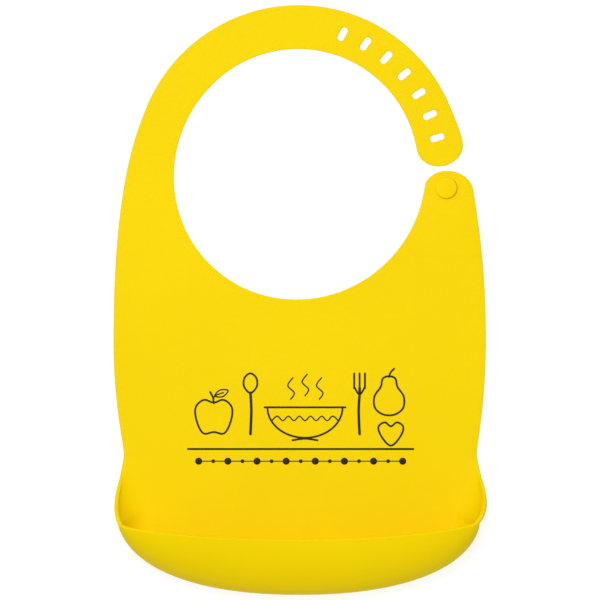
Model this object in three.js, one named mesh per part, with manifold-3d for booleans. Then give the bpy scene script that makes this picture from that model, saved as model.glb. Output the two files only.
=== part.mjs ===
// A silicone feeding bib, laid on its back on a table with the neck strap undone.
//
// Millimetres. +Y runs from the catcher pocket to the neck strap, +X towards the button,
// and +Z up off the table, out of the printed front face. The origin is on the table
// under the middle of the bib's outline.
//
// The real bib is one moulding of constant thickness. Here it is divided along the lines
// where it bends, so that each stretch between two bends is a rigid solid of its own.

import * as THREE from "three";
import { mergeVertices } from "three/addons/utils/BufferGeometryUtils.js";
import Module from "manifold-3d";

const wasm = await Module();
wasm.setup();

// ---------------------------------------------------------------- driving dimensions

const SHEET = 2.2; // thickness of the moulded sheet, everywhere
const MID = SHEET / 2;
const FLEX_GAP = 0.3; // clear slit between two solids of the flat sheet
const POCKET_FLEX_GAP = 2.4; // wider, because the pocket's front bends both ways

// The neckline is an ellipse whose long axis points to the upper right. On it, in degrees of
// its own, the button tab starts at `tab` and the strap's inner edge leaves it at `strap`.
const NECK = { x: 0.09, y: 70.93, long: 71.57, short: 69.57, turn: 48.3, tab: -57.5, strap: 81.5 };

// The strap curls round its own centre. It widens a little between `flare` and its end.
const STRAP = { x: -0.66, y: 73.06, inner: 67.29, middle: 79.5, outer: 91.77 };
const SHOULDER_DEG = 158;
const FLARE = { degrees: 22, handle: 6.6 };
const TIP = { degrees: 12.8, beyond: 4.9, halfWidth: 12.98, length: 11.25 };

// The strap bends at these angles round its centre, from the shoulder to the tip.
const STRAP_FLEX_DEG = [158, 118, 79, 47.3];

const SLOT = { count: 7, length: 8.1, width: 3.8, corner: 1.7 };
const SLOT_ANGLE = { first: 12.87, pitch: 9.55, growth: 0.049 }; // further apart towards the top
const SLOT_TILT = { about: 32.7, share: 0.77 }; // the slots turn less than the strap does

const HALF_WIDTH = 104.05;
const WIDEST_Y = -22.9;
// Lengths of the outline's curve handles: at the waist, at the widest place and at its ends.
const HANDLE = {
  waist: 6,
  belowWidest: 35.7,
  aboveWidestRight: 25.1,
  aboveWidestLeft: 85.3,
  tab: 35.9,
  shoulder: 16.8,
};
const WAIST_Y = -86; // the narrowest place, where the pocket starts
const CHEST_FOLD_Y = -14; // the panel folds here, just under the neckline
const SHOULDER_X = 62; // the shoulders start this far from the middle
const TAB_FLEX_Y = 36; // the button tab bends here

// The tab's end is part of an ellipse, from the angle `side` on its right to `neck` on its left.
const TAB = { x: 83.28, y: 60.7, halfWidth: 13.92, rise: 11.44, turn: -7.8, side: 12, neck: 165 };

const BUTTON = { x: 81.8, y: 62.7, stemRadius: 2.1, stemHeight: 2.3, capRadius: 5.9, capHeight: 1.6 };
const BUTTON_RIM = 1.1; // height of the cap's straight side, under the dome

const POCKET = {
  rootX: 82, // at the waist, from the middle to where the side walls start to rise
  rootSplay: 1, // how far the root line spreads along its first handle
  floorHalfWidth: 84, // the same as rootX, further down
  cornerY: -118,
  floorY: -145, // where the floor of the pocket leaves the table
  bellyX: 97.45, // the widest reach of the pocket's wall, at its corner
  bellyY: -122.9,
  bellyLow: -162.75, // the wall's lowest reach, in the middle of the front
  lipLow: -132.2,
  lipHeight: 34,
  lipCrown: 1.5, // how much higher the middle of the lip is than its corners
};
// Lengths of the handles of the pocket's curves.
const POCKET_HANDLE = { rootWaist: 11, rootCorner: 12, floorCorner: 23, floorMiddle: 60, lipWaist: 6 };

// The two sides of the lip differ a little: where each starts at the waist, where its curve
// pulls outwards and where it meets the front, as distances from the middle.
const LEFT = { waist: 98.3, flare: { x: 105, y: -114.4 }, corner: { x: 99.2, y: -124.1 } };
const RIGHT = { waist: 99.05, flare: { x: 106.9, y: -112.9 }, corner: { x: 97.85, y: -122.7 } };
const WALL_LEAN = 0.87; // height of the wall's shoulder, as a share of the lip's height
const UPRIGHT_AT = 0.8; // the station where the side wall stands fully upright
const RISE_POWER = 1.8; // above 1, the lip stays low for longer below the waist
const TURN_POWER = 1.1; // above 1, the stations of the front lie closer at its corners
const BELLY_POWER = 0.91; // below 1, the wall's plan is squarer than an ellipse
const SAG_POWER = 1.4; // above 1, the lip stays high near its corners in plan

const INK = { thickness: 0.15, line: 1.1, fine: 0.8, handle: 1.5 };
const RULE = { x: 0.6, y: -83.3, halfLength: 63 };

const YELLOW = { color: 0xf8d808, roughness: 0.55, metalness: 0 };
const BLACK = { color: 0x2b2418, roughness: 0.6, metalness: 0 };

// ---------------------------------------------------------------- helpers

const v2 = (x, y) => new THREE.Vector2(x, y);
const rad = THREE.MathUtils.degToRad;

// Points of an elliptical arc, in degrees; it runs clockwise if `to` is less than `from`.
function arc(cx, cy, rx, ry, from, to, steps, turn = 0) {
  const clockwise = to < from;
  const curve = new THREE.EllipseCurve(cx, cy, rx, ry, rad(from), rad(to), clockwise, rad(turn));
  return curve.getPoints(steps);
}

// Points of a cubic curve, without its first point.
function bend(a, b, c, d, steps) {
  return new THREE.CubicBezierCurve(a, b, c, d).getPoints(steps).slice(1);
}

// A point moved by a distance in a direction given in degrees.
function moved(point, degrees, distance) {
  return v2(
    point.x + distance * Math.cos(rad(degrees)),
    point.y + distance * Math.sin(rad(degrees)),
  );
}

function toSolid(geometry) {
  const bare = geometry.index ? geometry.toNonIndexed() : geometry.clone();
  bare.deleteAttribute("normal");
  bare.deleteAttribute("uv");
  const merged = mergeVertices(bare, 1e-4);
  return new wasm.Manifold(
    new wasm.Mesh({
      numProp: 3,
      vertProperties: new Float32Array(merged.attributes.position.array),
      triVerts: new Uint32Array(merged.index.array),
    }),
  );
}

function toGeometry(solid) {
  const mesh = solid.getMesh();
  const positions = new Float32Array(mesh.numVert * 3);
  for (let i = 0; i < mesh.numVert; i++)
    for (let k = 0; k < 3; k++)
      positions[3 * i + k] = mesh.vertProperties[i * mesh.numProp + k];
  const geometry = new THREE.BufferGeometry();
  geometry.setAttribute("position", new THREE.BufferAttribute(positions, 3));
  geometry.setIndex(new THREE.BufferAttribute(mesh.triVerts, 1));
  geometry.computeVertexNormals();
  return geometry;
}

// A flat outline raised from z = 0 to the given height.
function plate(points, height) {
  const shape = new THREE.Shape(points);
  return toSolid(new THREE.ExtrudeGeometry(shape, { depth: height, bevelEnabled: false }));
}

function part(name, solid, look) {
  const mesh = new THREE.Mesh(toGeometry(solid), new THREE.MeshStandardMaterial(look));
  mesh.name = name;
  return mesh;
}

// A point at an angle and a distance from the strap's centre, moved sideways by `aside`.
function onStrap(degrees, distance, aside = 0) {
  return moved(moved(STRAP, degrees, distance), degrees + 90, aside);
}

// ---------------------------------------------------------------- the pocket's surface

const sideRoot = new THREE.CubicBezierCurve(
  v2(POCKET.rootX, WAIST_Y),
  v2(POCKET.rootX + POCKET.rootSplay, WAIST_Y - POCKET_HANDLE.rootWaist),
  v2(POCKET.floorHalfWidth, POCKET.cornerY + POCKET_HANDLE.rootCorner),
  v2(POCKET.floorHalfWidth, POCKET.cornerY),
);
const frontRoot = new THREE.CubicBezierCurve(
  v2(POCKET.floorHalfWidth, POCKET.cornerY),
  v2(POCKET.floorHalfWidth, POCKET.cornerY - POCKET_HANDLE.floorCorner),
  v2(POCKET_HANDLE.floorMiddle, POCKET.floorY),
  v2(0, POCKET.floorY),
);

function sideLip({ waist, flare, corner }) {
  return new THREE.CubicBezierCurve(
    v2(waist, WAIST_Y),
    v2(waist, WAIST_Y - POCKET_HANDLE.lipWaist),
    v2(flare.x, flare.y),
    v2(corner.x, corner.y),
  );
}

// One half of the wall, from 0 at the waist over 1 at the corner to 2 in the middle of the
// front. Returns where the wall leaves the flat sheet, its widest reach, its lip, the lip's
// height and how upright the wall is: 0 where it is part of the flat sheet, 1 where it stands.
function halfStation(q, side) {
  const { lerp, smoothstep } = THREE.MathUtils;
  if (q < 1) {
    const lip = sideLip(side).getPoint(q);
    const toBelly = v2(POCKET.bellyX - side.corner.x, POCKET.bellyY - side.corner.y);
    return {
      root: sideRoot.getPoint(q),
      belly: lip.clone().addScaledVector(toBelly, smoothstep(q, 0, 1)),
      lip,
      height: lerp(MID, POCKET.lipHeight, smoothstep(q ** RISE_POWER, 0, 1)),
      upright: smoothstep(q, 0, UPRIGHT_AT),
    };
  }
  const turn = (Math.PI / 2) * (q - 1) ** TURN_POWER;
  const c = Math.max(0, Math.cos(turn));
  const s = Math.sin(turn);
  return {
    root: frontRoot.getPoint(q - 1),
    belly: v2(
      POCKET.bellyX * c ** BELLY_POWER,
      lerp(POCKET.bellyY, POCKET.bellyLow, s ** BELLY_POWER),
    ),
    lip: v2(side.corner.x * c, lerp(side.corner.y, POCKET.lipLow, s ** SAG_POWER)),
    height: POCKET.lipHeight + POCKET.lipCrown * s,
    upright: 1,
  };
}

// The station q runs along the pocket's wall: 0 at the left waist, 1 at the left corner,
// 2 in the middle of the front, 3 at the right corner and 4 at the right waist.
function pocketStation(q) {
  if (q > 2) return halfStation(4 - q, RIGHT);
  const left = halfStation(q, LEFT);
  for (const p of [left.root, left.belly, left.lip]) p.x = -p.x;
  return left;
}

// A point in the middle of the wall's thickness; v is 0 at the root and 1 at the lip.
function pocketPoint(q, v) {
  const { root, belly, lip, height, upright } = pocketStation(q);
  // Halfway along, a cubic with both handles at this point passes through the belly.
  const reach = belly.clone().multiplyScalar(8).sub(root).sub(lip).divideScalar(6);
  const low = root.clone().lerp(lip, 1 / 3).lerp(reach, upright);
  const high = root.clone().lerp(lip, 2 / 3).lerp(reach, upright);
  const gentle = MID + (height - MID) / 3;
  const shoulder = THREE.MathUtils.lerp(gentle, height * WALL_LEAN, upright);
  return new THREE.CubicBezierCurve3(
    new THREE.Vector3(root.x, root.y, MID),
    new THREE.Vector3(low.x, low.y, MID),
    new THREE.Vector3(high.x, high.y, shoulder),
    new THREE.Vector3(lip.x, lip.y, height),
  ).getPoint(v);
}

function pocketNormal(q, v) {
  const step = 1e-3;
  const along = pocketPoint(q + step, v).sub(pocketPoint(q - step, v));
  const up = pocketPoint(q, Math.min(1, v + step)).sub(pocketPoint(q, Math.max(0, v - step)));
  return along.cross(up).normalize();
}

// A stretch of the pocket's wall as a closed shell of the sheet's thickness.
function pocketShell([q0, q1], [v0, v1], qSteps, vSteps) {
  const positions = [];
  for (const side of [-MID, MID])
    for (let i = 0; i <= qSteps; i++)
      for (let j = 0; j <= vSteps; j++) {
        const q = THREE.MathUtils.lerp(q0, q1, i / qSteps);
        const v = THREE.MathUtils.lerp(v0, v1, j / vSteps);
        const p = pocketPoint(q, v).addScaledVector(pocketNormal(q, v), side);
        positions.push(p.x, p.y, Math.max(0, p.z));
      }
  const row = vSteps + 1;
  const layer = (qSteps + 1) * row;
  const at = (i, j, top) => top * layer + i * row + j;
  const index = [];
  const quad = (a, b, c, d) => index.push(a, b, c, a, c, d);
  for (let i = 0; i < qSteps; i++)
    for (let j = 0; j < vSteps; j++) {
      quad(at(i, j, 1), at(i + 1, j, 1), at(i + 1, j + 1, 1), at(i, j + 1, 1));
      quad(at(i, j, 0), at(i, j + 1, 0), at(i + 1, j + 1, 0), at(i + 1, j, 0));
    }
  for (let i = 0; i < qSteps; i++) {
    quad(at(i, 0, 0), at(i + 1, 0, 0), at(i + 1, 0, 1), at(i, 0, 1));
    quad(at(i, vSteps, 1), at(i + 1, vSteps, 1), at(i + 1, vSteps, 0), at(i, vSteps, 0));
  }
  for (let j = 0; j < vSteps; j++) {
    quad(at(0, j, 0), at(0, j, 1), at(0, j + 1, 1), at(0, j + 1, 0));
    quad(at(qSteps, j, 1), at(qSteps, j, 0), at(qSteps, j + 1, 0), at(qSteps, j + 1, 1));
  }
  const geometry = new THREE.BufferGeometry();
  geometry.setAttribute("position", new THREE.Float32BufferAttribute(positions, 3));
  geometry.setIndex(index);
  return toSolid(geometry);
}

// ---------------------------------------------------------------- the flat sheet

// Where the strap's inner edge leaves the neckline without a corner, and that edge's centre.
function strapInner() {
  const a = rad(NECK.strap);
  const [start] = arc(NECK.x, NECK.y, NECK.long, NECK.short, NECK.strap, 90, 1, NECK.turn);
  const outward = Math.atan2(NECK.long * Math.sin(a), NECK.short * Math.cos(a));
  const degrees = NECK.turn + THREE.MathUtils.radToDeg(outward);
  return { degrees, centre: moved(start, degrees, -STRAP.inner) };
}

// The whole flat outline, from the right waist up round the button tab, along the neckline,
// out along the strap and back, and down the left side to the pocket's root line.
function sheetOutline() {
  const waistCurve = (sign, { waist }) => [
    v2(sign * waist, WAIST_Y),
    v2(sign * waist, WAIST_Y + HANDLE.waist),
    v2(sign * HALF_WIDTH, WIDEST_Y - HANDLE.belowWidest),
    v2(sign * HALF_WIDTH, WIDEST_Y),
  ];
  const rightWaist = waistCurve(1, RIGHT);
  const widest = rightWaist[3];

  const tab = arc(TAB.x, TAB.y, TAB.halfWidth, TAB.rise, TAB.side, TAB.neck, 24, TAB.turn);
  const tabFall = tab[0].clone().sub(tab[1]).setLength(HANDLE.tab);

  const { degrees, centre } = strapInner();
  const back = TIP.degrees - 90;
  const tip = moved(
    moved(centre, TIP.degrees, STRAP.inner + TIP.halfWidth),
    back,
    TIP.beyond,
  );
  const tipEnd = moved(tip, TIP.degrees, TIP.halfWidth);
  const flare = onStrap(FLARE.degrees, STRAP.outer);
  const shoulder = onStrap(SHOULDER_DEG, STRAP.outer);
  return [
    rightWaist[0],
    ...bend(...rightWaist, 10),
    ...bend(
      widest,
      moved(widest, 90, HANDLE.aboveWidestRight),
      tab[0].clone().add(tabFall),
      tab[0],
      14,
    ),
    ...tab.slice(1),
    ...arc(NECK.x, NECK.y, NECK.long, NECK.short, NECK.tab, NECK.strap - 360, 64, NECK.turn),
    ...arc(centre.x, centre.y, STRAP.inner, STRAP.inner, degrees, TIP.degrees, 30).slice(1),
    ...arc(tip.x, tip.y, TIP.halfWidth, TIP.length, -180, 0, 18, TIP.degrees),
    ...bend(
      tipEnd,
      moved(tipEnd, back, -FLARE.handle),
      moved(flare, FLARE.degrees - 90, FLARE.handle),
      flare,
      5,
    ),
    ...arc(STRAP.x, STRAP.y, STRAP.outer, STRAP.outer, FLARE.degrees, SHOULDER_DEG, 40).slice(1),
    ...bend(
      shoulder,
      moved(shoulder, SHOULDER_DEG + 90, HANDLE.shoulder),
      v2(-HALF_WIDTH, WIDEST_Y + HANDLE.aboveWidestLeft),
      v2(-HALF_WIDTH, WIDEST_Y),
      20,
    ),
    ...bend(...waistCurve(-1, LEFT).reverse(), 10),
    ...rootLine(),
  ];
}

// The edge of the flat sheet where the pocket's wall starts, from the left waist to the right.
function rootLine() {
  const right = [...sideRoot.getPoints(8), ...frontRoot.getPoints(14).slice(1)];
  const left = right.slice(0, -1).map((p) => v2(-p.x, p.y));
  return [...left, ...right.reverse()];
}

// A rectangle with round corners, anticlockwise.
function slotOutline(k) {
  const degrees = SLOT_ANGLE.first + k * (SLOT_ANGLE.pitch + k * SLOT_ANGLE.growth);
  const tilt = SLOT_TILT.about + SLOT_TILT.share * (degrees - SLOT_TILT.about);
  const along = SLOT.length / 2 - SLOT.corner;
  const across = SLOT.width / 2 - SLOT.corner;
  return [[1, 1], [-1, 1], [-1, -1], [1, -1]].flatMap(([x, y], i) => {
    const side = moved(onStrap(degrees, STRAP.middle), tilt, x * along);
    const corner = moved(side, tilt + 90, y * across);
    const from = tilt + 90 * i;
    return arc(corner.x, corner.y, SLOT.corner, SLOT.corner, from, from + 90, 4);
  });
}

function box(x0, x1, y0, y1) {
  return [v2(x0, y0), v2(x1, y0), v2(x1, y1), v2(x0, y1)];
}

// The wedge of the plan between two angles round the strap's centre.
function strapWedge(from, to) {
  const near = 50;
  const far = 130;
  const half = FLEX_GAP / 2;
  return [
    onStrap(from, near, half),
    onStrap(from, far, half),
    onStrap(to, far, -half),
    onStrap(to, near, -half),
  ];
}

// The flat sheet's solids: the name of each and the piece of the plan that it fills.
function sheetZones() {
  const half = FLEX_GAP / 2;
  const out = 140; // beyond the outline on every side
  const fold = CHEST_FOLD_Y + half;
  const [root, rise, slots, tip] = STRAP_FLEX_DEG;
  return {
    apron_panel: box(-out, out, -out - 40, CHEST_FOLD_Y - half),
    chest_panel: box(-SHOULDER_X + half, SHOULDER_X - half, fold, NECK.y),
    left_shoulder: [
      v2(-SHOULDER_X - half, fold),
      v2(-SHOULDER_X - half, STRAP.y),
      onStrap(root, 60, half),
      onStrap(root, out, half),
      v2(-out, fold),
    ],
    right_shoulder: box(SHOULDER_X + half, out, fold, TAB_FLEX_Y - half),
    button_tab: box(SHOULDER_X + half, out, TAB_FLEX_Y + half, TAB.y + TAB.rise + 1),
    strap_rise: strapWedge(rise, root),
    strap_crown: strapWedge(slots, rise),
    strap_slots: strapWedge(tip, slots),
    strap_tip: strapWedge(0, tip),
  };
}

function sheetParts() {
  let sheet = plate(sheetOutline(), SHEET);
  for (let k = 0; k < SLOT.count; k++) sheet = sheet.subtract(plate(slotOutline(k), SHEET));
  return Object.entries(sheetZones()).map(([name, zone]) =>
    part(name, sheet.intersect(plate(zone, SHEET)), YELLOW),
  );
}

// ---------------------------------------------------------------- the pocket

function pocketParts() {
  const sideFrom = 0.02; // the sides start this station step below the waist
  const frontFrom = 1.7; // the swinging front starts at this station
  const seam = 0.006; // half the clear gap between the sides and the front, as a station step
  const foot = 0.02; // the wall starts this share of its height away from the sheet's edge
  const flexAt = 0.46; // the front wall bends here, at its widest reach
  const below = pocketPoint(2, flexAt - 0.01);
  const perMillimetre = 0.02 / pocketPoint(2, flexAt + 0.01).distanceTo(below);
  const half = (POCKET_FLEX_GAP / 2) * perMillimetre;

  const left = [sideFrom, frontFrom - seam];
  const right = [4 - left[1], 4 - left[0]];
  const front = [frontFrom + seam, 4 - frontFrom - seam];
  return [
    part("pocket_left_side", pocketShell(left, [foot, 1], 26, 10), YELLOW),
    part("pocket_right_side", pocketShell(right, [foot, 1], 26, 10), YELLOW),
    part("pocket_floor", pocketShell(front, [foot, flexAt - half], 14, 6), YELLOW),
    part("pocket_front_wall", pocketShell(front, [flexAt + half, 1], 14, 6), YELLOW),
  ];
}

// ---------------------------------------------------------------- the button

function lathe(profile, segments) {
  const points = profile.map(([r, z]) => v2(r, z));
  return toSolid(new THREE.LatheGeometry(points, segments).rotateX(Math.PI / 2));
}

function buttonParts() {
  const stem = lathe(
    [
      [0, 0],
      [BUTTON.stemRadius, 0],
      [BUTTON.stemRadius, BUTTON.stemHeight],
      [0, BUTTON.stemHeight],
    ],
    24,
  );
  const dome = arc(
    0,
    BUTTON_RIM,
    BUTTON.capRadius,
    BUTTON.capHeight - BUTTON_RIM,
    0,
    90,
    6,
  ).map((p) => [Math.max(0, p.x), p.y]);
  dome[dome.length - 1][0] = 0;
  const cap = lathe([[0, 0], [BUTTON.capRadius, 0], ...dome], 36);
  const group = new THREE.Group();
  group.position.set(BUTTON.x, BUTTON.y, SHEET);
  const capMesh = part("button_cap", cap, YELLOW);
  capMesh.position.z = BUTTON.stemHeight;
  group.add(part("button_stem", stem, YELLOW), capMesh);
  return group;
}

// ---------------------------------------------------------------- the printed artwork

// A line of ink along a smooth open curve through the given [x, y] points.
function stroke(points, width, steps = 12) {
  const curve = new THREE.SplineCurve(points.map((p) => v2(...p)));
  const left = [];
  const right = [];
  for (let i = 0; i <= steps; i++) {
    const p = curve.getPoint(i / steps);
    const t = curve.getTangent(i / steps);
    left.push(v2(p.x - (t.y * width) / 2, p.y + (t.x * width) / 2));
    right.push(v2(p.x + (t.y * width) / 2, p.y - (t.x * width) / 2));
  }
  const cap = (i) => {
    const p = curve.getPoint(i);
    const t = curve.getTangent(i);
    const out = THREE.MathUtils.radToDeg(Math.atan2(t.y, t.x)) + (i ? 0 : 180);
    return arc(p.x, p.y, width / 2, width / 2, out - 90, out + 90, 4).slice(1, -1);
  };
  const outline = [...right, ...cap(1), ...left.reverse(), ...cap(0)];
  return plate(outline, INK.thickness);
}

// A line of ink round a closed smooth curve through the given [x, y] points.
function loop(points, width, steps = 36) {
  const curve = new THREE.CatmullRomCurve3(
    points.map(([x, y]) => new THREE.Vector3(x, y, 0)),
    true,
  );
  const side = (sign) =>
    Array.from({ length: steps }, (_, i) => {
      const p = curve.getPoint(i / steps);
      const t = curve.getTangent(i / steps);
      return v2(p.x - (sign * t.y * width) / 2, p.y + (sign * t.x * width) / 2);
    });
  const [inner, outer] = [side(1), side(-1)]
    .sort((a, b) => Math.abs(THREE.ShapeUtils.area(a)) - Math.abs(THREE.ShapeUtils.area(b)))
    .map((outline) => plate(outline, INK.thickness));
  return outer.subtract(inner);
}

const joined = (solids) => solids.reduce((all, solid) => all.add(solid));

function apple(x, y) {
  const body = [
    [0, 7.6], [5.4, 9.2], [10, 5.2], [9.6, -2.4], [5.6, -9.6], [0, -8.8],
    [-5.6, -9.6], [-9.6, -2.4], [-10, 5.2], [-5.4, 9.2],
  ];
  const leaf = [[0.6, 11.4], [3.4, 14.6], [8, 14.4], [5, 11]];
  const at = (points) => points.map(([px, py]) => [x + px, y + py]);
  return joined([
    loop(at(body), INK.line),
    stroke(at([[0, 7.2], [-0.4, 10.4], [-2, 13.6]]), INK.line, 12),
    loop(at(leaf), INK.fine, 28),
    stroke(at([[-0.2, 9.6], [1, 11.6], [5.4, 13.2]]), INK.fine, 12),
  ]);
}

function pear(x, y) {
  const body = [
    [0, 10.4], [3.4, 9.2], [4.6, 4.6], [8.2, -1], [7.8, -7.4], [3.2, -11],
    [-3.2, -11], [-7.8, -7.4], [-8.2, -1], [-4.6, 4.6], [-3.4, 9.2],
  ];
  const at = (points) => points.map(([px, py]) => [x + px, y + py]);
  return joined([
    loop(at(body), INK.line),
    stroke(at([[0, 10], [0.8, 12.4], [2.8, 14.6]]), INK.line, 12),
  ]);
}

function heart(x, y) {
  const outline = [
    [0, 3.4], [3.4, 5.6], [6.8, 3.4], [6, -1], [0, -7.4],
    [-6, -1], [-6.8, 3.4], [-3.4, 5.6],
  ];
  return loop(outline.map(([px, py]) => [x + px, y + py]), INK.line);
}

// A bowl drawn from the side: its outline, foot and one wavy band.
function bowl(x, y) {
  const rim = 21;
  const deep = 17;
  const side = arc(x, y, rim, deep, 180, 360, 24).map((p) => [p.x, p.y]);
  const band = Array.from({ length: 13 }, (_, i) => {
    const t = i / 12;
    return [x + (2 * t - 1) * 18.6, y - 6.2 + (i % 2 ? 1.3 : -1.3)];
  });
  return joined([
    stroke(side, INK.line, 24),
    stroke([[x - rim - 1.6, y], [x, y], [x + rim + 1.6, y]], INK.line, 4),
    stroke(band, INK.fine, 36),
    stroke([[x - 7, y - deep - 1.4], [x, y - deep - 0.5], [x + 7, y - deep - 1.4]], INK.line, 10),
  ]);
}

function steam(x, y) {
  return stroke([[x, y], [x + 2, y + 3.6], [x - 1.6, y + 7.6], [x + 1.2, y + 12]], INK.fine, 24);
}

// A spoon standing on its handle, its bowl at the top.
function spoon(x, y) {
  const bowlPoints = [[0, 21], [3.2, 18.6], [3.6, 13.8], [0, 10], [-3.6, 13.8], [-3.2, 18.6]];
  return joined([
    loop(bowlPoints.map(([px, py]) => [x + px, y + py]), INK.line, 32),
    stroke([[x, y + 10.2], [x + 0.5, y], [x, y - 13]], INK.handle, 10),
  ]);
}

function fork(x, y) {
  const tines = [-3, 0, 3].map((tx) =>
    stroke([[x + tx, y + 21], [x + tx, y + 16], [x + tx, y + 12.6]], INK.line, 4),
  );
  return joined([
    ...tines,
    stroke([[x - 3, y + 13.4], [x, y + 9.2], [x + 3, y + 13.4]], INK.line, 16),
    stroke([[x, y + 13], [x, y + 9.6], [x - 0.5, y], [x, y - 13]], INK.handle, 12),
  ]);
}

// Beads of two sizes on a thread, under the rule.
function beadRow() {
  const y = RULE.y - 6.8;
  const beads = 15;
  const reach = RULE.halfLength - 6;
  const thread = 0.3;
  const top = [];
  for (let i = 0; i < beads; i++) {
    const x = RULE.x - reach + (2 * reach * i) / (beads - 1);
    const r = i % 2 ? 1.1 : 2;
    const lift = THREE.MathUtils.radToDeg(Math.asin(thread / r));
    top.push(...arc(x, y, r, r, 180 - lift, lift, 8));
  }
  const bottom = top.map((p) => v2(p.x, 2 * y - p.y)).reverse();
  return plate([...top, ...bottom], INK.thickness);
}

function printParts() {
  const { x, y, halfLength } = RULE;
  const drawings = {
    print_rule: stroke([[x - halfLength, y], [x, y], [x + halfLength, y]], INK.line, 4),
    print_bead_row: beadRow(),
    print_bowl: bowl(3, -60),
    print_steam_left: steam(-5, -55.5),
    print_steam_middle: steam(3, -53.5),
    print_steam_right: steam(11, -55.5),
    print_spoon: spoon(-27.5, -62),
    print_fork: fork(33.5, -62),
    print_apple: apple(-48, -65),
    print_pear: pear(50, -53),
    print_heart: heart(51, -74),
  };
  const group = new THREE.Group();
  group.position.z = SHEET;
  for (const [name, ink] of Object.entries(drawings)) group.add(part(name, ink, BLACK));
  return group;
}

// ---------------------------------------------------------------- the bib

const bib = new THREE.Group();
bib.add(...sheetParts(), ...pocketParts(), buttonParts(), printParts());

export default bib;
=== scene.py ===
"""A yellow silicone feeding bib, lying on its back with the neck strap undone.

Plan dimensions are in millimetres and become metres as each mesh is made. +Y runs from the
catcher pocket to the strap, +X towards the button and +Z up off the table. The moulding is
split into pieces at seams, so that every bend has one piece across it.
"""

import math

import bmesh
import bpy
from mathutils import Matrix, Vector
from mathutils.geometry import interpolate_bezier


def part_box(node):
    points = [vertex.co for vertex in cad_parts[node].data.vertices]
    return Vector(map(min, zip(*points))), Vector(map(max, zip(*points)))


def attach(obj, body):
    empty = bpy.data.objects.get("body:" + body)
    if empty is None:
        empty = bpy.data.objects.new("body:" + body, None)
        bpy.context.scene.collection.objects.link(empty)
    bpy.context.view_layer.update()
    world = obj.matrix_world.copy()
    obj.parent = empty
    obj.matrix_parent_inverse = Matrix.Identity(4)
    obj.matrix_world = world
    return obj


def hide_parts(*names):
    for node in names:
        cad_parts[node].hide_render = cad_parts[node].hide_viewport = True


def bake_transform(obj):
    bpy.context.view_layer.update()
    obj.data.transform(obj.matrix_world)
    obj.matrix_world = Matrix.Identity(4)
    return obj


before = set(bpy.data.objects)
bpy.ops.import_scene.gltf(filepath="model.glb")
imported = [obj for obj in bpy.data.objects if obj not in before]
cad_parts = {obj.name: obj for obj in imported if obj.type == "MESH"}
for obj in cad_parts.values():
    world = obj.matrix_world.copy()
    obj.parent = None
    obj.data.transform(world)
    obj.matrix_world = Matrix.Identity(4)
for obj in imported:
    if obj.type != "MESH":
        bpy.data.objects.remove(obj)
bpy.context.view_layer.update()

# ---------------------------------------------------------------- dimensions, in millimetres

MM = 0.001

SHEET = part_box("apron_panel")[1][2] / MM  # thickness of the moulded sheet, everywhere
MID = SHEET / 2

EDGE_RADIUS = 0.6  # rounding of every free edge of the sheet
EDGE_BAND = 0.45  # flat strip that keeps the rounding's shading off the broad faces
PARTING_RIDGE = 0.06  # the moulds' parting line, round the middle of the edge
PARTING_HALF_HEIGHT = 0.12
CELL = 4.0  # grid of the flat faces, fine enough to bend
GRID_SHIFT = 0.37  # keeps the grid's lines off the pocket's seam and the chest's fold
FOLD_CELL = 1.0  # height of the grid's rows where the chest folds over
ALIGNED = 0.9999  # the least share of a unit vector that counts as along one axis

# The neckline is an ellipse whose long axis points to the upper right.
NECK_X, NECK_Y = 0.09, 70.93
NECK_LONG, NECK_SHORT = 71.57, 69.57
NECK_TURN_DEG = 48.3
NECK_TAB_DEG = -57.5  # on the ellipse, where the button tab starts
NECK_STRAP_DEG = 81.5  # on the ellipse, where the strap's inner edge leaves it

STRAP_X, STRAP_Y = -0.66, 73.06
STRAP_OUTER = 91.77
STRAP_INNER = 67.29
STRAP_MIDDLE = 79.5
SHOULDER_DEG = 158.0
FLARE_DEG = 22.0  # from here to its end the strap widens a little

TIP_DEG = 12.8
TIP_BEYOND = 4.9
TIP_HALF_WIDTH, TIP_LENGTH = 12.98, 11.25

SLOTS = 7
SLOT_FIRST_DEG = 12.87
SLOT_PITCH_DEG, SLOT_PITCH_GROWTH = 9.55, 0.049  # further apart towards the top
SLOT_LENGTH, SLOT_WIDTH = 8.1, 3.8
SLOT_CORNER = 1.7
SLOT_TILT_ABOUT, SLOT_TILT_SHARE = 32.7, 0.77  # the slots turn less than the strap does

TAB_X, TAB_Y = 83.28, 60.7
TAB_HALF_WIDTH, TAB_RISE = 13.92, 11.44
TAB_TURN_DEG = -7.8
TAB_SIDE_DEG, TAB_NECK_DEG = 12.0, 165.0  # where the tab's ellipse starts and ends

HALF_WIDTH = 104.05
WIDEST_Y = -22.9
WAIST_LEFT, WAIST_RIGHT = 98.3, 99.05
WAIST_Y = -86.0

# Lengths of the outline's curve handles, from the points that they belong to.
WAIST_HANDLE = 6.0
BELOW_WIDEST_HANDLE = 35.7
RIGHT_HANDLE, LEFT_HANDLE = 25.1, 85.3  # above the widest place
TAB_HANDLE = 35.9
SHOULDER_HANDLE = 16.8
FLARE_HANDLE = 6.6

# Seams between pieces lie where the moulding is rigid.
POCKET_SEAM_Y = WAIST_Y
SHEET_LOW_Y = WAIST_Y - 8  # the sheet is made down to here, then cut at the pocket's seam
TAB_SEAM_Y = 24.0
TAB_LEFT_X = 30.0  # the tab's piece lies to the right of this
CHEST_FOLD_Y = -14.0

# Length of the moulding, after the chest's fold, that the grid's finer rows cover.
FOLD_RUN = 24.0

# ---------------------------------------------------------------- plan curves


def direction(degrees):
    a = math.radians(degrees)
    return Vector((math.cos(a), math.sin(a)))


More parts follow.
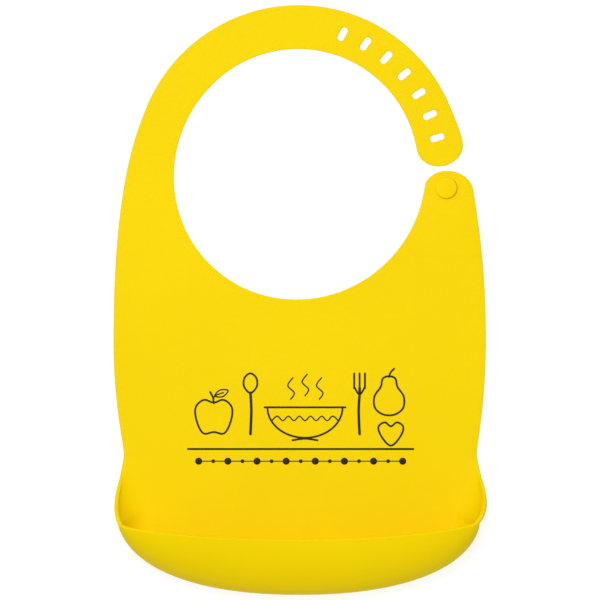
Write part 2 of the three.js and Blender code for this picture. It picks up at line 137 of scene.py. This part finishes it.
def arc(cx, cy, rx, ry, start, end, steps, turn=0.0):
    """Points of an arc between two angles in degrees, both ends included. turn tilts its axes."""
    across, up = direction(turn) * rx, direction(turn + 90) * ry
    points = []
    for i in range(steps + 1):
        a = math.radians(start + (end - start) * i / steps)
        points.append(Vector((cx, cy)) + across * math.cos(a) + up * math.sin(a))
    return points


def bend(a, b, c, d, steps):
    """Points of a cubic curve, without its first."""
    knots = [Vector((x, y, 0)) for x, y in (a, b, c, d)]
    return [p.to_2d() for p in interpolate_bezier(*knots, steps + 1)[1:]]


def on_strap(degrees, distance):
    """A point at an angle and a distance from the strap's centre."""
    return Vector((STRAP_X, STRAP_Y)) + direction(degrees) * distance


def neck_arc(start, end, steps):
    return arc(NECK_X, NECK_Y, NECK_LONG, NECK_SHORT, start, end, steps, NECK_TURN_DEG)


def strap_inner_arc(steps):
    """The strap's inner edge: it leaves the neckline without a corner and ends near the tip."""
    a = math.radians(NECK_STRAP_DEG)
    outward_deg = NECK_TURN_DEG + math.degrees(
        math.atan2(math.sin(a) * NECK_LONG, math.cos(a) * NECK_SHORT)
    )
    centre = neck_arc(NECK_STRAP_DEG, 90, 1)[0] - direction(outward_deg) * STRAP_INNER
    return centre, arc(*centre, STRAP_INNER, STRAP_INNER, outward_deg, TIP_DEG, steps)


def sheet_outline():
    """The flat sheet's outline, anticlockwise, closed by a straight line under the waist."""
    middle_y = (SHEET_LOW_Y + WAIST_Y) / 2

    def waist_curve(waist, widest):
        return (
            Vector((waist, WAIST_Y)),
            Vector((waist, WAIST_Y + WAIST_HANDLE)),
            Vector((widest, WIDEST_Y - BELOW_WIDEST_HANDLE)),
            Vector((widest, WIDEST_Y)),
        )

    right_waist = waist_curve(WAIST_RIGHT, HALF_WIDTH)
    left_waist = waist_curve(-WAIST_LEFT, -HALF_WIDTH)
    widest = right_waist[3]

    ellipse = (TAB_X, TAB_Y, TAB_HALF_WIDTH, TAB_RISE)
    tab = arc(*ellipse, TAB_SIDE_DEG, TAB_NECK_DEG, 34, TAB_TURN_DEG)
    tab_knot = tab[0] + (tab[0] - tab[1]).normalized() * TAB_HANDLE

    inner_centre, inner = strap_inner_arc(80)
    back = direction(TIP_DEG - 90)
    tip = inner_centre + direction(TIP_DEG) * (STRAP_INNER + TIP_HALF_WIDTH) + back * TIP_BEYOND
    tip_arc = arc(*tip, TIP_HALF_WIDTH, TIP_LENGTH, -180, 0, 40, TIP_DEG)
    tip_knot = tip_arc[-1] - back * FLARE_HANDLE
    flare = on_strap(FLARE_DEG, STRAP_OUTER)
    flare_knot = flare + direction(FLARE_DEG - 90) * FLARE_HANDLE
    shoulder = on_strap(SHOULDER_DEG, STRAP_OUTER)
    shoulder_knot = shoulder + direction(SHOULDER_DEG + 90) * SHOULDER_HANDLE
    return [
        Vector((WAIST_RIGHT, SHEET_LOW_Y)),
        Vector((WAIST_RIGHT, middle_y)),
        right_waist[0],
        *bend(*right_waist, 26),
        *bend(widest, widest + Vector((0, RIGHT_HANDLE)), tab_knot, tab[0], 34),
        *tab[1:],
        *neck_arc(NECK_TAB_DEG, NECK_STRAP_DEG - 360, 130),
        *inner[1:],
        *tip_arc,
        *bend(tip_arc[-1], tip_knot, flare_knot, flare, 8),
        *arc(STRAP_X, STRAP_Y, STRAP_OUTER, STRAP_OUTER, FLARE_DEG, SHOULDER_DEG, 110)[1:],
        *bend(
            shoulder,
            shoulder_knot,
            Vector((-HALF_WIDTH, WIDEST_Y + LEFT_HANDLE)),
            left_waist[3],
            60,
        ),
        *bend(*reversed(left_waist), 26),
        Vector((-WAIST_LEFT, middle_y)),
        Vector((-WAIST_LEFT, SHEET_LOW_Y)),
    ]


def slot_outline(k):
    """One button slot's outline, a rectangle with round corners, clockwise."""
    degrees = SLOT_FIRST_DEG + k * (SLOT_PITCH_DEG + k * SLOT_PITCH_GROWTH)
    tilt = SLOT_TILT_ABOUT + SLOT_TILT_SHARE * (degrees - SLOT_TILT_ABOUT)
    centre = on_strap(degrees, STRAP_MIDDLE)
    points = []
    for x, y, start in ((1, 1, 90), (1, -1, 0), (-1, -1, -90), (-1, 1, -180)):
        along = direction(tilt) * x * (SLOT_LENGTH / 2 - SLOT_CORNER)
        across = direction(tilt + 90) * y * (SLOT_WIDTH / 2 - SLOT_CORNER)
        corner = centre + along + across
        points += arc(*corner, SLOT_CORNER, SLOT_CORNER, tilt + start, tilt + start - 90, 6)
    return points


# ---------------------------------------------------------------- meshes


def edge_profile():
    """The section of a free edge, from the bottom face to the top: inset and height."""
    r = EDGE_RADIUS
    lower = [(p.x, p.y) for p in arc(r, r, r, r, 270, 180, 5)]
    half = PARTING_HALF_HEIGHT
    ridge = [(0, MID - half), (-PARTING_RIDGE, MID), (0, MID + half)]
    upper = [(inset, SHEET - z) for inset, z in reversed(lower)]
    return [(r + EDGE_BAND, 0), *lower, *ridge, *upper, (r + EDGE_BAND, SHEET)]


def outward(points, i):
    """The outward direction at a point of a closed outline that keeps the solid on its left."""
    along = (points[(i + 1) % len(points)] - points[i - 1]).normalized()
    return Vector((along.y, -along.x))


def inset_ring(bm, points, inset, z):
    """Vertices at one height, moved inwards from a closed outline."""
    ring = []
    for i, p in enumerate(points):
        at = p - outward(points, i) * inset
        ring.append(bm.verts.new((at.x, at.y, z)))
    return ring


def join_rings(bm, rings):
    """Faces between each closed ring of vertices and the next."""
    for low, high in zip(rings, rings[1:]):
        for i in range(len(low)):
            bm.faces.new((low[i - 1], low[i], high[i], high[i - 1]))


def ring_edges(bm, ring):
    return [bm.edges.get((ring[i - 1], ring[i])) for i in range(len(ring))]


def plate(outlines, profile):
    """A solid between closed outlines. Its edges follow a profile of insets and heights."""
    bm = bmesh.new()
    bottoms, tops = [], []
    for points in outlines:
        rings = [inset_ring(bm, points, inset, z) for inset, z in profile]
        join_rings(bm, rings)
        bottoms += ring_edges(bm, rings[0])
        tops += ring_edges(bm, rings[-1])
    for edges in (bottoms, tops):
        bmesh.ops.triangle_fill(bm, edges=edges, use_beauty=True)
    return bm


def is_flat(face):
    return abs(face.normal.z) > ALIGNED


def cut_plane(bm, point, normal, faces):
    """Adds the edges where a plane crosses these faces."""
    geometry = {*faces}
    for face in faces:
        geometry.update(face.edges)
        geometry.update(face.verts)
    bmesh.ops.bisect_plane(
        bm, geom=list(geometry), dist=1e-4, plane_co=point, plane_no=normal
    )


def grid_flat_faces(bm):
    """Divides the two broad faces into square cells, with finer rows over the chest's fold, so
    that they bend smoothly. The slanting edges of the first fill go."""
    low = Vector((-HALF_WIDTH, SHEET_LOW_Y))
    for axis, span in ((0, 2 * HALF_WIDTH), (1, STRAP_Y + STRAP_OUTER - low.y)):
        normal = Vector((1, 0, 0)) if axis == 0 else Vector((0, 1, 0))
        for i in range(1, int(span / CELL) + 1):
            at = Vector((0, 0, 0))
            at[axis] = low[axis] + i * CELL + GRID_SHIFT
            cut_plane(bm, at, normal, [f for f in bm.faces if is_flat(f)])
    for i in range(int(FOLD_RUN / FOLD_CELL) + 1):
        at = Vector((0, CHEST_FOLD_Y + i * FOLD_CELL, 0))
        cut_plane(bm, at, Vector((0, 1, 0)), bm.faces[:])
    bm.normal_update()
    stray = []
    for edge in bm.edges:
        if len(edge.link_faces) != 2 or not all(is_flat(f) for f in edge.link_faces):
            continue
        run = (edge.verts[1].co - edge.verts[0].co).normalized()
        if abs(run.x) < ALIGNED and abs(run.y) < ALIGNED:
            stray.append(edge)
    bmesh.ops.dissolve_edges(bm, edges=stray, use_verts=False)
    idle = [v for v in bm.verts if len(v.link_edges) == 2]
    bmesh.ops.dissolve_verts(bm, verts=idle)


def whole_sheet():
    """The flat sheet as one solid with rounded edges and seven slots."""
    slots = [slot_outline(k) for k in range(SLOTS)]
    bm = plate([sheet_outline(), *slots], edge_profile())
    bmesh.ops.recalc_face_normals(bm, faces=bm.faces[:])
    bm.normal_update()
    grid_flat_faces(bm)
    return bm


def finish_mesh(bm, name, material, sharp_deg=50):
    """Turns a bmesh in millimetres into an object in metres, with smooth shading."""
    bmesh.ops.recalc_face_normals(bm, faces=bm.faces[:])
    bmesh.ops.scale(bm, vec=(MM, MM, MM), verts=bm.verts[:])
    mesh = bpy.data.meshes.new(name)
    bm.to_mesh(mesh)
    bm.free()
    mesh.shade_smooth()
    mesh.set_sharp_from_angle(angle=math.radians(sharp_deg))
    piece = bpy.data.objects.new(name, mesh)
    bpy.context.scene.collection.objects.link(piece)
    mesh.materials.append(material)
    return piece


def carve(sheet, name, material, cuts, keep):
    """The part of the sheet where keep(centre) is true, cut along planes and closed."""
    bm = sheet.copy()
    for point, normal in cuts:
        cut_plane(bm, point, normal, bm.faces[:])
    lost = [f for f in bm.faces if not keep(f.calc_center_median())]
    bmesh.ops.delete(bm, geom=lost, context="FACES")
    rim = [e for e in bm.edges if e.is_boundary]
    bmesh.ops.holes_fill(bm, edges=rim, sides=0)
    return finish_mesh(bm, name, material)


def radial_plane(degrees):
    """The upright plane through the strap's centre at an angle: a point and a normal."""
    return Vector((STRAP_X, STRAP_Y, 0)), direction(degrees + 90).to_3d()


def strap_angle(point):
    return math.degrees(math.atan2(point.y - STRAP_Y, point.x - STRAP_X))


# ---------------------------------------------------------------- the pocket's surface

ROOT_X, ROOT_SPLAY = 82.0, 1.0  # where the side walls start to rise, at the waist
FLOOR_HALF_WIDTH = 84.0  # the same, further down
CORNER_Y = -118.0
FLOOR_Y = -145.0  # where the floor of the pocket leaves the table
BELLY_X, BELLY_Y = 97.45, -122.9  # the wall's widest reach, at its corner
BELLY_LOW = -162.75  # the wall's lowest reach, in the middle of the front
LIP_LOW = -132.2
LIP_HEIGHT = 34.0
LIP_CROWN = 1.5  # how much higher the middle of the lip is than its corners
# The two sides of the lip differ a little: where each starts at the waist, where its curve
# pulls outwards and where it meets the front, as distances from the middle.
LEFT_LIP = (WAIST_LEFT, Vector((105.0, -114.4)), Vector((99.2, -124.1)))
RIGHT_LIP = (WAIST_RIGHT, Vector((106.9, -112.9)), Vector((97.85, -122.7)))
WALL_LEAN = 0.87  # height of the wall's shoulder, as a share of the lip's height
UPRIGHT_AT = 0.8  # the station where the side wall stands fully upright
ROOT_WAIST_HANDLE, ROOT_CORNER_HANDLE = 11.0, 12.0
FLOOR_CORNER_HANDLE, FLOOR_MIDDLE_HANDLE = 23.0, 60.0
LIP_HANDLE = 6.0
RISE_POWER = 1.8  # above 1, the lip stays low for longer below the waist
TURN_POWER = 1.1  # above 1, the stations of the front lie closer at its corners
BELLY_POWER = 0.91  # below 1, the wall's plan is squarer than an ellipse
SAG_POWER = 1.4  # above 1, the lip stays high near its corners in plan
# The flat middle of the pocket's floor is half a squarish ellipse.
FLAT_HALF_WIDTH, FLAT_REACH = 76.0, 42.0
FLAT_SIDE_POWER, FLAT_FRONT_POWER = 0.62, 0.75


def cubic(a, b, c, d, t):
    s = 1 - t
    return a * s**3 + b * 3 * s * s * t + c * 3 * s * t * t + d * t**3


def smoothstep(t):
    t = min(max(t, 0.0), 1.0)
    return t * t * (3 - 2 * t)


def side_station(q, waist, flare, corner):
    """A side's wall from the waist to the corner: root, widest reach, lip, lip height and how
    upright it stands."""
    root = cubic(
        Vector((ROOT_X, WAIST_Y)),
        Vector((ROOT_X + ROOT_SPLAY, WAIST_Y - ROOT_WAIST_HANDLE)),
        Vector((FLOOR_HALF_WIDTH, CORNER_Y + ROOT_CORNER_HANDLE)),
        Vector((FLOOR_HALF_WIDTH, CORNER_Y)),
        q,
    )
    lip_start = Vector((waist, WAIST_Y))
    lip = cubic(lip_start, lip_start - Vector((0, LIP_HANDLE)), flare, corner, q)
    belly = lip + (Vector((BELLY_X, BELLY_Y)) - corner) * smoothstep(q)
    height = MID + (LIP_HEIGHT - MID) * smoothstep(q**RISE_POWER)
    return root, belly, lip, height, smoothstep(q / UPRIGHT_AT)


def front_station(q, corner):
    """The same for half of the front, from its corner to its middle."""
    root = cubic(
        Vector((FLOOR_HALF_WIDTH, CORNER_Y)),
        Vector((FLOOR_HALF_WIDTH, CORNER_Y - FLOOR_CORNER_HANDLE)),
        Vector((FLOOR_MIDDLE_HANDLE, FLOOR_Y)),
        Vector((0, FLOOR_Y)),
        q,
    )
    turn = math.pi / 2 * q**TURN_POWER
    c, s = max(math.cos(turn), 0), math.sin(turn)
    belly = Vector(
        (BELLY_X * c**BELLY_POWER, BELLY_Y + (BELLY_LOW - BELLY_Y) * s**BELLY_POWER)
    )
    lip = Vector((corner.x * c, corner.y + (LIP_LOW - corner.y) * s**SAG_POWER))
    return root, belly, lip, LIP_HEIGHT + LIP_CROWN * s, 1.0


def wall_curve(q):
    """The four knots of the wall's section at a station, in the middle of its thickness.

    Stations run along the wall: 0 at the left waist, 1 at the left corner, 2 in the middle of
    the front, 3 at the right corner and 4 at the right waist.
    """
    side, shape = (-1, LEFT_LIP) if q < 2 else (1, RIGHT_LIP)
    from_waist = min(q, 4 - q)
    if from_waist < 1:
        root, belly, lip, height, upright = side_station(from_waist, *shape)
    else:
        root, belly, lip, height, upright = front_station(from_waist - 1, shape[2])
    # With both inner knots here, the curve passes through the widest reach halfway along.
    reach = (belly * 8 - root - lip) / 6
    low = root.lerp(lip, 1 / 3).lerp(reach, upright)
    high = root.lerp(lip, 2 / 3).lerp(reach, upright)
    gentle = MID + (height - MID) / 3
    shoulder = gentle + (height * WALL_LEAN - gentle) * upright
    knots = ((root, MID), (low, MID), (high, shoulder), (lip, height))
    return [Vector((side * p.x, p.y, z)) for p, z in knots]


def inner_point(q):
    """Where a station's line leaves the flat middle of the pocket's floor."""
    a = math.pi * q / 4
    across = math.copysign(abs(math.cos(a)) ** FLAT_SIDE_POWER, math.cos(a))
    x = -FLAT_HALF_WIDTH * across
    y = WAIST_Y - FLAT_REACH * math.sin(a) ** FLAT_FRONT_POWER
    return Vector((x, y, MID))


def station_line(q, count):
    """Points of the sheet's middle surface, evenly spaced from the flat floor to the lip's
    rounding, and then the lip itself."""
    fine = 80
    knots = wall_curve(q)
    path = [inner_point(q)]
    path += [cubic(*knots, i / fine) for i in range(fine + 1)]
    lengths = [0.0]
    for a, b in zip(path, path[1:]):
        lengths.append(lengths[-1] + (b - a).length)
    points = []
    k = 0
    for i in range(count + 1):
        want = (lengths[-1] - EDGE_RADIUS - EDGE_BAND) * i / count
        while lengths[k + 1] < want:
            k += 1
        gap = lengths[k + 1] - lengths[k]
        t = (want - lengths[k]) / gap if gap > 1e-9 else 0.0
        points.append(path[k].lerp(path[k + 1], t))
    return [*points, path[-1]]


def pocket_sections(stations=160, count=40):
    """The pocket's sections from waist to waist, each from the floor's top face up the inside,
    over the lip and down the outside to the floor's underside."""
    grid = [station_line(4 * i / stations, count) for i in range(stations + 1)]
    last = count + 1

    def outward_normal(i, j):
        along = grid[min(i + 1, stations)][j] - grid[max(i - 1, 0)][j]
        up = grid[i][min(j + 1, last)] - grid[i][max(j - 1, 0)]
        return along.cross(up).normalized()

    sections = []
    for i, line in enumerate(grid):
        normals = [outward_normal(i, j) for j in range(last + 1)]
        inside = [line[j] - normals[j] * MID for j in range(last)]
        outside = [line[j] + normals[j] * MID for j in range(last)]
        up = (line[last] - line[last - 1]).normalized()
        lip = [
            line[last] - up * inset + normals[last] * (z - MID)
            for inset, z in edge_profile()[1:-1]
        ]
        sections.append([*inside, *lip, *reversed(outside)])
    return sections


def pocket_piece(name, material):
    bm = bmesh.new()
    sections = [[bm.verts.new(p) for p in section] for section in pocket_sections()]
    for a, b in zip(sections, sections[1:]):
        for k in range(len(a) - 1):
            bm.faces.new((a[k], b[k], b[k + 1], a[k + 1]))
    bm.faces.new([s[0] for s in sections])
    bm.faces.new([s[-1] for s in sections])
    bm.faces.new([*sections[0], *reversed(sections[-1])])
    return finish_mesh(bm, name, material)


# ---------------------------------------------------------------- the button

BUTTON_X, BUTTON_Y = 81.8, 62.7
STEM_RADIUS, STEM_HEIGHT = 2.1, 2.3
CAP_RADIUS = 5.9
CAP_RIM = 0.55  # radius of the cap's rounded rim
CAP_RISE = 0.5  # the cap's gentle dome, above its rim
FOOT_FILLET, NECK_FILLET = 0.8, 0.5  # where the stem meets the tab and the cap


def button_profile():
    """The button's outline from its foot in the tab to the top of its cap: radius and height."""
    foot, neck = FOOT_FILLET, NECK_FILLET
    under = SHEET + STEM_HEIGHT
    top = under + 2 * CAP_RIM
    flat = CAP_RADIUS - CAP_RIM
    dome = flat**2 / (2 * CAP_RISE) + CAP_RISE / 2  # radius
    dome_start = 90 - math.degrees(math.asin(flat / dome))
    return [
        Vector((STEM_RADIUS + foot, MID)),
        *arc(STEM_RADIUS + foot, SHEET + foot, foot, foot, 270, 180, 6),
        *arc(STEM_RADIUS + neck, under - neck, neck, neck, 180, 90, 5),
        *arc(flat, under + CAP_RIM, CAP_RIM, CAP_RIM, -90, dome_start, 12),
        *arc(0, top + CAP_RISE - dome, dome, dome, dome_start, 90, 10)[1:-1],
    ]


def button_piece(name, material, segments=72):
    bm = bmesh.new()
    profile = button_profile()
    top = bm.verts.new((BUTTON_X, BUTTON_Y, SHEET + STEM_HEIGHT + 2 * CAP_RIM + CAP_RISE))
    rings = []
    for radius, z in profile:
        ring = []
        for k in range(segments):
            at = direction(360 * k / segments) * radius
            ring.append(bm.verts.new((BUTTON_X + at.x, BUTTON_Y + at.y, z)))
        rings.append(ring)
    join_rings(bm, rings)
    for k in range(segments):
        bm.faces.new((rings[-1][k - 1], rings[-1][k], top))
    bm.faces.new(list(reversed(rings[0])))
    return finish_mesh(bm, name, material)


# ---------------------------------------------------------------- the printed artwork

INK_DEPTH = 0.05  # how far the film of ink reaches into the sheet
INK_HEIGHT = 0.07
INK_EDGE = 0.06  # the film thins out over this width
INK_STEP = 0.4  # length of the steps along its outline
INK_CORNER_DEG = 60  # a sharper turn than this stays a corner


def top_loops(drawing):
    """The outlines of a CAD drawing's top face, in millimetres, each an ordered closed loop."""
    mesh = drawing.data
    top = max(v.co.z for v in mesh.vertices)
    near = {v.index: (v.co / MM).to_2d() for v in mesh.vertices if v.co.z > top - 1e-5}
    key = {i: (round(p.x, 3), round(p.y, 3)) for i, p in near.items()}
    uses = {}
    for face in mesh.polygons:
        if all(i in near for i in face.vertices):
            for a, b in face.edge_keys:
                edge = frozenset((key[a], key[b]))
                uses[edge] = uses.get(edge, 0) + 1
    follow = {}
    for edge, count in uses.items():
        if count == 1:
            a, b = edge
            follow.setdefault(a, []).append(b)
            follow.setdefault(b, []).append(a)
    loops = []
    while follow:
        start = min(follow)
        loop = [start]
        came, here = None, start
        while True:
            ahead = [p for p in follow[here] if p != came]
            came, here = here, ahead[0]
            if here == start:
                break
            loop.append(here)
        for p in loop:
            del follow[p]
        loops.append([Vector(p) for p in loop])
    return loops


def smooth_loop(points):
    """A closed outline redrawn as a smooth curve with evenly small steps. Corners stay."""
    count = len(points)
    chords = [points[(i + 1) % count] - points[i] for i in range(count)]

    def heading(i, chord):
        before, after = chords[i - 1], chords[i]
        if before.angle(after) > math.radians(INK_CORNER_DEG):
            return chord.normalized()
        return (before + after).normalized()

    smooth = []
    for i, chord in enumerate(chords):
        j = (i + 1) % count
        third = chord.length / 3
        lead = points[i] + heading(i, chord) * third
        trail = points[j] - heading(j, chord) * third
        steps = max(1, round(chord.length / INK_STEP))
        smooth += [cubic(points[i], lead, trail, points[j], k / steps) for k in range(steps)]
    return smooth


def signed_area(points):
    return sum(a.cross(b) for a, b in zip(points, [*points[1:], points[0]])) / 2


def is_inside(point, loops):
    """Whether a point is inside an odd number of closed outlines."""
    crossings = 0
    for points in loops:
        for a, b in zip(points, [*points[1:], points[0]]):
            if (a.y > point.y) != (b.y > point.y):
                if point.x < a.x + (b.x - a.x) * (point.y - a.y) / (b.y - a.y):
                    crossings += 1
    return crossings % 2 == 1


def ink_piece(drawing, material):
    """A CAD drawing redrawn as a thin film of ink with soft edges, on the sheet's top face."""
    loops = [smooth_loop(points) for points in top_loops(drawing)]
    for n, points in enumerate(loops):
        is_hole = is_inside(points[0], loops[:n] + loops[n + 1 :])
        if (signed_area(points) > 0) == is_hole:
            points.reverse()
    profile = [(0, SHEET - INK_DEPTH), (0, SHEET), (INK_EDGE, SHEET + INK_HEIGHT)]
    piece = finish_mesh(plate(loops, profile), f"{drawing.name}_ink", material, sharp_deg=80)
    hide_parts(drawing.name)
    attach(piece, "root")


# ---------------------------------------------------------------- materials


def node(tree, kind, **values):
    made = tree.nodes.new(kind)
    for key, value in values.items():
        setattr(made, key, value)
    return made


def noise(tree, scale, detail):
    """A noise texture fixed to the object."""
    place = node(tree, "ShaderNodeTexCoord")
    texture = node(tree, "ShaderNodeTexNoise")
    texture.inputs["Scale"].default_value = scale
    texture.inputs["Detail"].default_value = detail
    tree.links.new(place.outputs["Object"], texture.inputs["Vector"])
    return texture.outputs["Fac"]


def tint(tree, factor, low, high):
    """A colour that wanders between two shades."""
    ramp = node(tree, "ShaderNodeValToRGB")
    ends = ramp.color_ramp.elements
    ends[0].position, ends[1].position = 0.3, 0.7
    ends[0].color, ends[1].color = (*low, 1), (*high, 1)
    tree.links.new(factor, ramp.inputs["Fac"])
    return ramp.outputs["Color"]


def spread(tree, factor, low, high):
    """A number that wanders between two values."""
    span = node(tree, "ShaderNodeMapRange")
    span.inputs["To Min"].default_value = low
    span.inputs["To Max"].default_value = high
    tree.links.new(factor, span.inputs["Value"])
    return span.outputs["Result"]


def relief(tree, factor, strength, depth):
    """A bump's normals; depth is in metres."""
    bump = node(tree, "ShaderNodeBump")
    bump.inputs["Strength"].default_value = strength
    bump.inputs["Distance"].default_value = depth
    tree.links.new(factor, bump.inputs["Height"])
    return bump.outputs["Normal"]


def silicone_material():
    """Satin yellow silicone: faint clouding, the mould's fine grain and uneven gloss."""
    material = bpy.data.materials.new("silicone")
    material.use_nodes = True
    tree = material.node_tree
    shader = tree.nodes["Principled BSDF"]
    shader.inputs["Specular IOR Level"].default_value = 0.05
    shader.inputs["IOR"].default_value = 1.43
    shader.inputs["Subsurface Weight"].default_value = 0.12
    shader.inputs["Subsurface Radius"].default_value = (1.0, 0.6, 0.1)
    shader.inputs["Subsurface Scale"].default_value = 0.0008
    colour = tint(tree, noise(tree, 14, 3), (0.880, 0.640, 0.0004), (0.905, 0.662, 0.0006))
    tree.links.new(colour, shader.inputs["Base Color"])
    grain = relief(tree, noise(tree, 2200, 2), 0.08, 0.0002)
    tree.links.new(grain, shader.inputs["Normal"])
    tree.links.new(spread(tree, noise(tree, 60, 4), 0.5, 0.62), shader.inputs["Roughness"])
    return material


def ink_material():
    """Matt brownish black screen-print ink, a little uneven in shade and gloss."""
    material = bpy.data.materials.new("ink")
    material.use_nodes = True
    tree = material.node_tree
    shader = tree.nodes["Principled BSDF"]
    shader.inputs["Specular IOR Level"].default_value = 0.2
    colour = tint(tree, noise(tree, 900, 3), (0.016, 0.011, 0.003), (0.028, 0.020, 0.004))
    tree.links.new(colour, shader.inputs["Base Color"])
    grain = relief(tree, noise(tree, 3000, 2), 0.1, 0.0001)
    tree.links.new(grain, shader.inputs["Normal"])
    tree.links.new(spread(tree, noise(tree, 400, 3), 0.6, 0.75), shader.inputs["Roughness"])
    return material


# ---------------------------------------------------------------- the moulding

silicone = silicone_material()
sheet = whole_sheet()

STRAP_ROOT_DEG = 174.0  # the seam between the strap and the panel
STRAP_END_DEG = 0.0  # just past the strap's tip

# Each stretch of the strap: its CAD node, its joint and the angle of the seam where it starts.
# A stretch ends where the next one starts.
STRAP = [
    ("strap_rise", "strap_root_flex", STRAP_ROOT_DEG),
    ("strap_crown", "strap_side_flex", 138.0),
    ("strap_slots", "strap_top_flex", 98.0),
    ("strap_tip", "strap_end_flex", 62.0),
]


def flex(piece):
    """Bakes the piece's placement into its mesh."""
    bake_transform(piece)


def strap_stretch(name, first, last):
    """The strap between two seams; the last stretch goes on to the strap's tip."""
    piece = carve(
        sheet,
        f"{name}_skin",
        silicone,
        [radial_plane(first), radial_plane(last)],
        lambda p: p.y > STRAP_Y and last < strap_angle(p) < first,
    )
    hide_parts(name)
    flex(piece)


def in_strap(point):
    return point.y > STRAP_Y and strap_angle(point) < STRAP_ROOT_DEG


def in_tab(point):
    return point.x > TAB_LEFT_X and TAB_SEAM_Y < point.y < STRAP_Y


UP_THE_BIB = Vector((0, 1, 0))
POCKET_SEAM = (Vector((0, POCKET_SEAM_Y, 0)), UP_THE_BIB)
TAB_SEAM = (Vector((0, TAB_SEAM_Y, 0)), UP_THE_BIB)

panel = carve(
    sheet,
    "front_panel",
    silicone,
    [POCKET_SEAM, TAB_SEAM, radial_plane(STRAP_ROOT_DEG)],
    lambda p: p.y > POCKET_SEAM_Y and not in_tab(p) and not in_strap(p),
)
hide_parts("apron_panel", "chest_panel", "left_shoulder", "right_shoulder")
flex(panel)

tab = carve(sheet, "button_tab_skin", silicone, [TAB_SEAM], in_tab)
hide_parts("button_tab")
flex(tab)

seams = [first for _, _, first in STRAP] + [STRAP_END_DEG]
for (name, joint, first), last in zip(STRAP, seams[1:]):
    strap_stretch(name, first, last)

pocket = pocket_piece("catcher_pocket", silicone)
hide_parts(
    "pocket_left_side", "pocket_right_side", "pocket_floor", "pocket_front_wall"
)
flex(pocket)

button = button_piece("button", silicone)
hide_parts("button_stem", "button_cap")
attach(button, "tab")

ink = ink_material()
for name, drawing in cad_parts.items():
    if name.startswith("print_"):
        ink_piece(drawing, ink)


# ---------------------------------------------------------------- camera, light and floor

# In metres.
CAMERA_X, CAMERA_HEIGHT = 0.0002, 2.8
VIEW_WIDTH = 0.3356  # width of the floor that the picture takes in
SENSOR_MM = 36
FLOOR_HALF_SIZE = 3.0
FLOOR_DROP = 0.0004  # the floor lies this far under the bib


def add_camera():
    """Straight above the bib, with the strap at the top of the picture."""
    data = bpy.data.cameras.new("camera")
    camera = bpy.data.objects.new("camera", data)
    bpy.context.scene.collection.objects.link(camera)
    data.sensor_width = SENSOR_MM
    data.lens = SENSOR_MM * CAMERA_HEIGHT / VIEW_WIDTH
    data.clip_end = 20
    camera.location = (CAMERA_X, 0, CAMERA_HEIGHT)
    bpy.context.scene.camera = camera


def add_light(name, location, size, power):
    """A round soft light that shines at the bib's middle; power is in watts."""
    data = bpy.data.lights.new(name, "AREA")
    data.shape = "DISK"
    data.size = size
    data.energy = power
    light = bpy.data.objects.new(name, data)
    light.location = location
    light.rotation_euler = Vector(location).to_track_quat("Z", "Y").to_euler()
    bpy.context.scene.collection.objects.link(light)


def add_floor():
    """A pale matt floor that glows, so that it stays nearly white in the picture."""
    bm = bmesh.new()
    bmesh.ops.create_grid(bm, x_segments=2, y_segments=2, size=FLOOR_HALF_SIZE)
    mesh = bpy.data.meshes.new("floor")
    bm.to_mesh(mesh)
    bm.free()
    floor = bpy.data.objects.new("floor", mesh)
    floor.location.z = -FLOOR_DROP
    bpy.context.scene.collection.objects.link(floor)
    material = bpy.data.materials.new("pale_floor")
    material.use_nodes = True
    shader = material.node_tree.nodes["Principled BSDF"]
    shader.inputs["Base Color"].default_value = (0.22, 0.22, 0.22, 1)
    shader.inputs["Roughness"].default_value = 0.9
    shader.inputs["Specular IOR Level"].default_value = 0.1
    shader.inputs["Emission Color"].default_value = (1, 1, 1, 1)
    shader.inputs["Emission Strength"].default_value = 0.84
    mesh.materials.append(material)


def add_world():
    world = bpy.data.worlds.new("studio")
    bpy.context.scene.world = world
    world.use_nodes = True
    background = world.node_tree.nodes["Background"]
    background.inputs["Color"].default_value = (1, 1, 1, 1)
    background.inputs["Strength"].default_value = 0.46


add_camera()
add_floor()
add_world()
add_light("key", (-0.09, 0.2, 1.05), size=0.4, power=7.3)
bpy.context.scene.view_settings.view_transform = "Standard"
